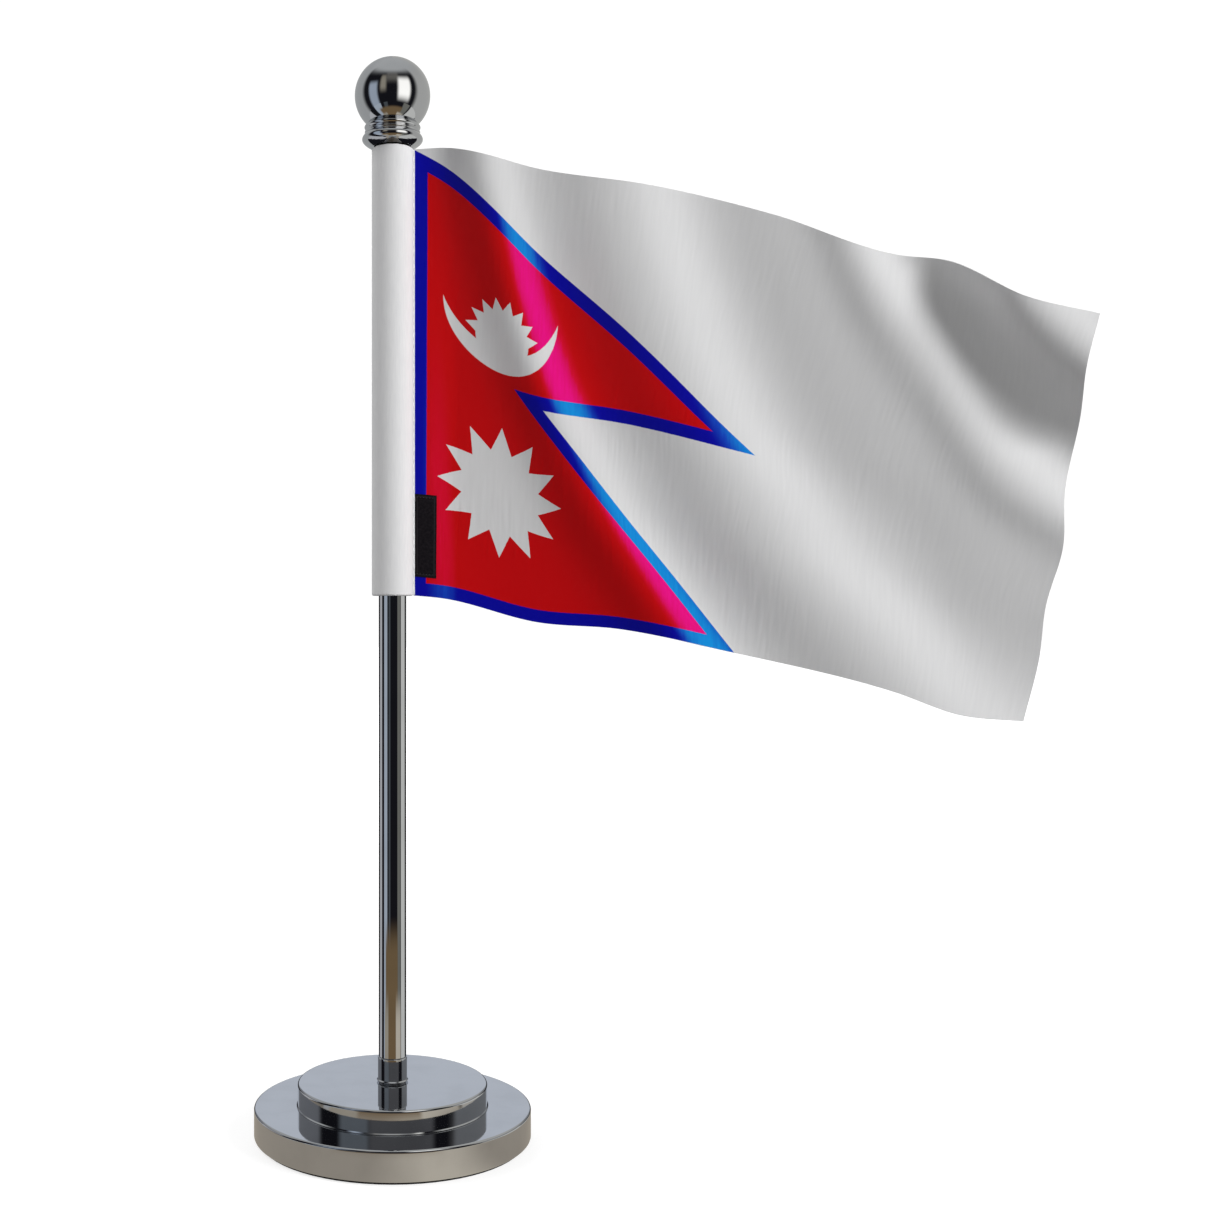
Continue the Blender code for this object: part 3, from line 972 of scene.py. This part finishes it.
def normals_of(points):
    """Unit normals of a grid of points, facing the viewer."""
    down = np.gradient(points, axis=0)
    along = np.gradient(points, axis=1)
    front = np.cross(down, along)
    front = front / np.linalg.norm(front, axis=-1, keepdims=True)
    return np.where(front[..., 1:2] > 0, -front, front)


def sheet_mesh(name, near, far, fly, drop, values=None):
    """A closed sheet between two grids of points, with its flat cut as a UV map."""
    rows, columns = fly.shape
    grid = np.arange(rows * columns).reshape(rows, columns)
    corners = np.stack((grid[:-1, :-1], grid[:-1, 1:], grid[1:, 1:], grid[1:, :-1]), axis=-1).reshape(-1, 4)
    rim = np.concatenate((grid[0, :-1], grid[:-1, -1], grid[-1, :0:-1], grid[:0:-1, 0]))
    following = np.roll(rim, -1)
    count = rows * columns
    sides = np.stack((rim, following, following + count, rim + count), axis=-1)
    faces = np.concatenate((corners, corners + count, sides))
    verts = np.concatenate((near.reshape(-1, 3), far.reshape(-1, 3))) * MM
    mesh = solid_mesh(name, verts, faces.tolist())
    loops = np.empty(len(mesh.loops), np.int64)
    mesh.loops.foreach_get("vertex_index", loops)
    flat = np.stack((fly.reshape(-1), 1 - drop.reshape(-1)), axis=-1)
    flat = np.concatenate((flat, flat))[loops]
    layer = mesh.uv_layers.new(name="cut")
    layer.data.foreach_set("uv", flat.astype(np.float32).reshape(-1))
    # A painted highlight, when given, is kept on each point for the ink to read.
    if values is not None:
        attribute = mesh.attributes.new("painted_highlight", "FLOAT", "POINT")
        both = np.concatenate((values.reshape(-1), values.reshape(-1)))
        attribute.data.foreach_set("value", both.astype(np.float32))
    return mesh


def build_flag(cloth, black, thread_dark):
    drop, fly = np.meshgrid(np.linspace(0, 1, CLOTH_ROWS), np.linspace(0, 1, CLOTH_COLUMNS), indexing="ij")
    middle = cloth_point(fly, drop)
    front = normals_of(middle)
    # Painted highlight: how squarely each point faces the key light, kept on the mesh to lighten the ink.
    light = front @ unit(np.array(KEY_DIRECTION))
    painted_highlight = smooth(np.clip((light - PAINTED_HIGHLIGHT_STARTS) / (PAINTED_HIGHLIGHT_FULL - PAINTED_HIGHLIGHT_STARTS), 0, 1))

    held = np.clip(fly * FLY / CREASES_GROW, 0, 1)
    middle = middle + front * (crinkles(fly, drop) * held)[..., None]
    near = middle + front * CLOTH_T / 2
    far = middle - front * CLOTH_T / 2
    mesh = sheet_mesh("flag_cloth", near, far, fly, drop, painted_highlight)
    flag = finish_mesh("flag_cloth", mesh, cloth, "flag", 70.0)
    # The chrome rings under the ball would mirror the cloth, and they show only the room.
    flag.visible_glossy = False
    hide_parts("flag_panel")

    label, threads = build_label(black, thread_dark)
    return flag, [label, threads]


def build_label(black, thread):
    """The black label, lying on the cloth beside the welt, sewn along its two short ends."""
    left = LABEL_LEFT / FLY
    right = left + LABEL_WIDTH / FLY
    low = 1 - LABEL_RISE / HOIST
    high = low - LABEL_HEIGHT / HOIST
    down = np.linspace(high, low, LABEL_ROWS)
    drop, fly = np.meshgrid(down, np.linspace(left, right, LABEL_COLUMNS), indexing="ij")
    middle = cloth_point(fly, drop)
    front = normals_of(middle)
    across = (fly - left) / (right - left)
    along = (drop - high) / (low - high)
    lift = LABEL_LIFT + 0.05 * across ** 3 + 0.02 * np.sin(np.pi * along * 2.2)
    near = middle + front * (lift + LABEL_T)[..., None]
    far = middle + front * lift[..., None]
    mesh = sheet_mesh("side_tab", near, far, across, along)
    label = finish_mesh("side_tab", mesh, black, "flag", 50.0)
    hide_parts("side_label")

    ends = []
    for row in (2, LABEL_ROWS - 3):
        for col in range(1, LABEL_COLUMNS - 2, 2):
            ends.append((near[row, col], near[row, col + 1], front[row, col]))
    threads = stitches("label_stitches", ends, THREAD_R, thread, "flag")
    return label, threads


def build_welt(cloth, thread):
    """The folded strip along the hoist, drawn in a little at each stitch, and its stitches on both sides."""
    low = LOWER_EDGE[0][1] + 0.2
    high = UPPER_EDGE[0][1] - 0.2
    verts = []
    faces = []
    rows = 480
    for row in range(rows):
        z = low + (high - low) * row / (rows - 1)
        pinch = 0.5 + 0.5 * math.cos(math.tau * (z - low) / STITCH_STEP)
        inner = WELT_HALF_IN - PINCH_IN * pinch
        outer = WELT_HALF_OUT - PINCH_OUT * pinch
        section = (
            (WELT_IN, -inner), (WELT_OUT, -outer), (WELT_OUT, -WELT_CLEAR), (WELT_FOLD, -WELT_CLEAR),
            (WELT_FOLD, WELT_CLEAR), (WELT_OUT, WELT_CLEAR), (WELT_OUT, outer), (WELT_IN, inner),
        )
        verts += [(x * MM, y * MM, z * MM) for x, y in section]
    count = 8
    for row in range(rows - 1):
        faces += ring_faces(row * count, count)
    for below in (0, (rows - 1) * count):
        faces.append((below, below + 1, below + 2, below + 3))
        faces.append((below, below + 3, below + 4, below + 7))
        faces.append((below + 4, below + 5, below + 6, below + 7))
    mesh = solid_mesh("sleeve_welt", verts, faces)
    finish_mesh("sleeve_welt", mesh, cloth, "flag", 60.0)

    ends = []
    middle = (WELT_IN + WELT_OUT) / 2 + 0.12
    for index in range(int((high - low) / STITCH_STEP)):
        start = low + (index + 0.5) * STITCH_STEP - STITCH_LENGTH / 2
        for side in (-1.0, 1.0):
            y = side * 0.35
            ends.append(((middle, y, start), (middle, y, start + STITCH_LENGTH), (0.0, side, 0.0)))
    stitches("hoist_stitches", ends, THREAD_R, thread, "flag")


def build_sleeve(cloth):
    """The sleeve's fabric tube, its ends turned in over the liner."""
    sleeve_r, low, high = span("flag_sleeve")
    wall_r = sleeve_r - SLEEVE_WALL
    turn_r = sleeve_r - SLEEVE_TURN_IN
    outer = [
        (wall_r, low + 1.2), (turn_r, low + 0.35), (turn_r, low), (sleeve_r, low, True),
        (sleeve_r, high, True), (turn_r, high), (turn_r, high - 0.35), (wall_r, high - 1.2),
    ]
    profile = supported(rounded(outer, SLEEVE_CURL))
    return turned("sleeve_fabric", profile, cloth, "flag", "flag_sleeve", 128, 50.0)


# ---- stage


# What the chrome sees of the studio, painted in this order over a dark room. Each panel has its left and
# right edge in degrees round from the front towards +X, its lower and upper edge in degrees above level,
# how soft its edges are, and its colour. One that starts below level also stands on the floor.
DARK_ROOM = (0.010, 0.010, 0.013)
DOWN_TO_FLOOR = -90.0
STUDIO = (
    ("left_wall", -190.0, -98.0, 22.0, 95.0, 8.0, (0.42, 0.43, 0.44)),
    ("right_wall", 75.0, 190.0, 22.0, 95.0, 8.0, (0.46, 0.46, 0.45)),
    ("left_shelf", -190.0, -98.0, 6.0, 20.0, 5.0, (0.25, 0.26, 0.28)),
    ("right_shelf", 80.0, 190.0, 6.0, 20.0, 5.0, (0.27, 0.28, 0.29)),
    ("back_strip_left", -190.0, -158.0, 9.0, 26.0, 4.0, (0.58, 0.62, 0.69)),
    ("back_strip_right", 158.0, 190.0, 9.0, 26.0, 4.0, (0.58, 0.62, 0.69)),
    ("left_strip", -128.0, -98.0, DOWN_TO_FLOOR, 8.0, 2.0, (0.55, 0.55, 0.57)),
    ("blue_strip", -74.0, -44.0, DOWN_TO_FLOOR, 8.0, 2.0, (0.46, 0.52, 0.60)),
    ("blue_shade", -66.0, -28.0, 8.0, 22.0, 5.0, (0.17, 0.19, 0.21)),
    ("front_shade", -28.0, 50.0, 8.0, 22.0, 5.0, (0.12, 0.12, 0.125)),
    ("left_doorway", -32.0, -18.0, DOWN_TO_FLOOR, 2.0, 2.0, (0.08, 0.09, 0.10)),
    ("olive_strip", 42.0, 68.0, DOWN_TO_FLOOR, 6.0, 3.0, (0.19, 0.19, 0.17)),
    ("right_strip", 75.0, 124.0, DOWN_TO_FLOOR, 8.0, 2.0, (0.68, 0.68, 0.65)),
    ("ceiling", -190.0, 190.0, 54.0, 120.0, 14.0, (0.50, 0.51, 0.51)),
)

# The table top round the foot, as reflections see it: beige close by, painted brighter on the right than on
# the left as a pool of light, and mats around it.
# Each mat has its left and right edge in degrees round, their softness, how far it reaches, how soft its
# far edge is, and its colour.
NEAR_FOOT = 0.075
NEAR_FOOT_SOFT = 0.012
TABLE_SHADED = (0.38, 0.34, 0.285)
TABLE_LIT = (0.62, 0.565, 0.47)
MATS = (
    ("brown_mat", -58.0, 44.0, 5.0, 0.31, 0.05, (0.20, 0.135, 0.07)),
    ("left_mat", -66.0, -34.0, 3.0, 0.17, 0.03, (0.40, 0.36, 0.29)),
    # Painted light: a lit patch of table to the right, in the lit beige.
    ("right_lit_patch", 28.0, 70.0, 3.0, 0.17, 0.03, TABLE_LIT),
)
# The floor: half its side, and how brightly it glows near the foot and far away, to be white in the picture.
FLOOR_HALF = 6.0
GLOW_NEAR = 0.74
GLOW_FAR = 1.1

# The light tent that the ball mirrors hangs round it, higher than the bare part of the mast. Its panels
# have their left and right edge in degrees round, their lower and upper edge in metres, how soft their
# edges are in both, and their colour.
TENT_R = 0.24
TENT_LOW = 0.172
TENT_HIGH = 0.74
TENT_OPENS = 0.44
TENT = (
    ("left_side", -230.0, -97.0, 0.0, 1.0, 9.0, 0.02, (0.43, 0.44, 0.44)),
    ("right_side", 76.0, 230.0, 0.0, 1.0, 9.0, 0.02, (0.50, 0.50, 0.48)),
    ("blue_window", -73.0, -46.0, 0.05, 0.44, 5.0, 0.04, (0.40, 0.46, 0.55)),
    ("beige_lamp", -36.0, -19.0, 0.33, 0.56, 5.0, 0.05, (0.34, 0.31, 0.25)),
    ("haze", -20.0, 18.0, 0.46, 0.70, 6.0, 0.08, (0.20, 0.19, 0.17)),
    ("window", 17.0, 54.0, 0.23, 0.50, 6.0, 0.07, (1.55, 1.52, 1.44)),
)


def angle_round(x, y):
    """Degrees round from the front towards +X."""
    return x.math("ARCTAN2", y * -1.0) * (180 / math.pi)


def studio_colour(nodes, degrees, rise=None):
    """What is seen in a direction or, with no rise, what stands on the floor there."""
    seen = DARK_ROOM
    for _, left, right, low, high, soft, colour in STUDIO:
        if rise is None and low != DOWN_TO_FLOOR:
            continue
        inside = degrees.between(left, right, soft)
        if rise is not None:
            inside = inside * rise.between(low, high, soft)
        seen = nodes.mix(inside, seen, colour)
    return seen


def build_world():
    """The studio for reflections, an even sky for what is dull, and plain white for the camera."""
    world = bpy.data.worlds.new("studio")
    bpy.context.scene.world = world
    nodes = Nodes(world)
    x, y, z = nodes.point("Generated")
    rise = z.math("ARCSINE") * (180 / math.pi)
    seen = studio_colour(nodes, angle_round(x, y), rise)

    ray = nodes.add("ShaderNodeLightPath")
    glossy = nodes.shader("ShaderNodeBackground", Color=seen)
    sky = nodes.shader("ShaderNodeBackground", Color=WHITE, Strength=SKY_STRENGTH)
    backdrop = nodes.shader("ShaderNodeBackground", Color=WHITE, Strength=BACKDROP_STRENGTH)
    shown = nodes.blend(ray.outputs["Is Glossy Ray"], sky, glossy)
    shown = nodes.blend(ray.outputs["Is Camera Ray"], shown, backdrop)
    nodes.show(shown, "ShaderNodeOutputWorld")


def stage_object(name, verts, faces, material):
    """An object in metres that belongs to the stage."""
    mesh = bpy.data.meshes.new(name)
    mesh.from_pydata(verts, [], faces)
    mesh.materials.append(material)
    made = bpy.data.objects.new(name, mesh)
    bpy.context.scene.collection.objects.link(made)
    return made


def build_floor():
    """A pale seamless floor. Reflections see a beige table top there, with darker room beyond it."""
    nodes = new_material("pale_floor")
    x, y, _ = nodes.point()
    degrees = angle_round(x, y)
    distance = (x * x + y * y).math("SQRT")
    seen = studio_colour(nodes, degrees)
    for _, left, right, soft, reach, soft_end, colour in MATS:
        inside = degrees.between(left, right, soft) * distance.between(-reach, reach, soft_end)
        seen = nodes.mix(inside, seen, colour)
    # Painted light: the beige near the foot is lit brighter towards the right.
    beige = nodes.mix(degrees.between(2.0, 42.0, 16.0), TABLE_SHADED, TABLE_LIT)
    beyond = distance.above(NEAR_FOOT - NEAR_FOOT_SOFT, NEAR_FOOT + NEAR_FOOT_SOFT)
    seen = nodes.mix(beyond, beige, seen)

    ray = nodes.add("ShaderNodeLightPath")
    reflected = nodes.shader("ShaderNodeEmission", Color=seen)
    speckle = nodes.noise(nodes.join(x, y, 0.0), 40.0, 3.0)
    grey = nodes.mix(speckle.above(0.3, 0.7), (0.40, 0.40, 0.40), (0.39, 0.39, 0.39))
    glow = distance.above(0.05, 1.4).spread(GLOW_NEAR, GLOW_FAR)
    added = nodes.add("ShaderNodeAddShader")
    nodes.put(added, 0, nodes.shader("ShaderNodeBsdfDiffuse", Color=grey))
    nodes.put(added, 1, nodes.shader("ShaderNodeEmission", Color=WHITE, Strength=glow))
    bounce = nodes.shader("ShaderNodeBsdfDiffuse", Color=(0.28, 0.28, 0.28))
    shown = nodes.blend(ray.outputs["Is Camera Ray"], bounce, added.outputs[0])
    material = nodes.show(nodes.blend(ray.outputs["Is Glossy Ray"], shown, reflected))

    half = FLOOR_HALF
    corners = [(-half, -half, 0), (half, -half, 0), (half, half, 0), (-half, half, 0)]
    floor = stage_object("floor", corners, [(0, 1, 2, 3)], material)


def build_tent():
    """The light tent: a cylinder that only reflections see, and that opens softly towards the ceiling."""
    nodes = new_material("tent_light")
    x, y, z = nodes.point()
    degrees = angle_round(x, y)
    seen = DARK_ROOM
    for _, left, right, low, high, soft_round, soft_up, colour in TENT:
        inside = degrees.between(left, right, soft_round) * z.between(low, high, soft_up)
        seen = nodes.mix(inside, seen, colour)
    light = nodes.shader("ShaderNodeEmission", Color=seen)
    clear = nodes.shader("ShaderNodeBsdfTransparent")
    material = nodes.show(nodes.blend(z.above(TENT_OPENS, TENT_HIGH), light, clear))

    sides = 96
    verts = []
    for height in (TENT_LOW, TENT_HIGH):
        for step in range(sides):
            angle = math.tau * step / sides
            verts.append((TENT_R * math.cos(angle), TENT_R * math.sin(angle), height))
    tent = stage_object("tent", verts, ring_faces(0, sides), material)
    tent.visible_camera = False
    tent.visible_diffuse = False
    tent.visible_shadow = False


def add_light(name, direction, size, power):
    """A round area light that only lights: neither the camera nor a reflection sees it."""
    data = bpy.data.lights.new(name, "AREA")
    data.shape = "DISK"
    data.size = size
    data.energy = power
    light = bpy.data.objects.new(name, data)
    towards = Vector(direction).normalized()
    light.location = Vector(LIT_PLACE) + towards * LIGHT_DISTANCE
    light.rotation_euler = towards.to_track_quat("Z", "Y").to_euler()
    light.visible_glossy = False
    light.visible_camera = False
    bpy.context.scene.collection.objects.link(light)


def build_camera():
    data = bpy.data.cameras.new("camera")
    data.sensor_width = SENSOR
    data.lens = FOCAL_LENGTH
    data.shift_x = SHIFT_X
    data.clip_start = 0.01
    data.clip_end = 50.0
    camera = bpy.data.objects.new("camera", data)
    camera.location = (0.0, EYE_Y * MM, EYE_Z * MM)
    camera.rotation_euler = (math.pi / 2, 0.0, 0.0)
    bpy.context.scene.collection.objects.link(camera)
    bpy.context.scene.camera = camera


def paint(nodes, material):
    """Gives carried-over CAD nodes their finish."""
    for name in nodes:
        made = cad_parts[name]
        made.data.materials.clear()
        made.data.materials.append(material)


def main():
    build_camera()
    chrome_around = polished_chrome("chrome_turned", True, 0.07)
    chrome_along = polished_chrome("chrome_drawn", False, 0.03)
    steel = turned_metal("zinc_plated", (0.52, 0.53, 0.55), 0.35)
    brass = turned_metal("turned_brass", (0.71, 0.55, 0.27), 0.3)
    # Black nylon, made dark partly as painted shade in the gap where the finial's washer sits.
    nylon = moulded("black_nylon_and_shade", (0.035, 0.035, 0.038), 0.5, 0.2)
    liner = moulded("liner_plastic", (0.86, 0.86, 0.87), 0.4, 0.15)
    rubber = moulded("grip_rubber", (0.05, 0.05, 0.05), 0.75, 0.4)
    white_thread = sewing_thread("white_thread", (0.88, 0.88, 0.89), (0.75, 0.75, 0.77))
    black_thread = sewing_thread("black_thread", (0.035, 0.033, 0.036), (0.012, 0.011, 0.013))

    build_foot(chrome_around, steel)
    build_mast(chrome_along, chrome_around)
    build_finial(chrome_around, steel)
    white = sleeve_cloth()
    sleeve = build_sleeve(white)
    sleeve.visible_glossy = False
    build_welt(white, white_thread)
    flag, on_flag = build_flag(printed_cloth(), label_cloth(), black_thread)

    paint(["base_pad"], pressed_felt())
    paint(["screw_washer", "lock_washer", "pole_washer"], steel)
    paint(["finial_washer"], nylon)
    paint(["upper_plug"], brass)
    paint(["lower_sleeve_bush", "upper_sleeve_bush"], rubber)
    paint(["sleeve_liner"], liner)

    build_world()
    build_floor()
    build_tent()
    for light in LIGHTS:
        add_light(*light)

    settings = bpy.context.scene.view_settings
    settings.view_transform = "Standard"
    settings.look = "None"
    settings.exposure = 0.0
    settings.gamma = 1.0


main()
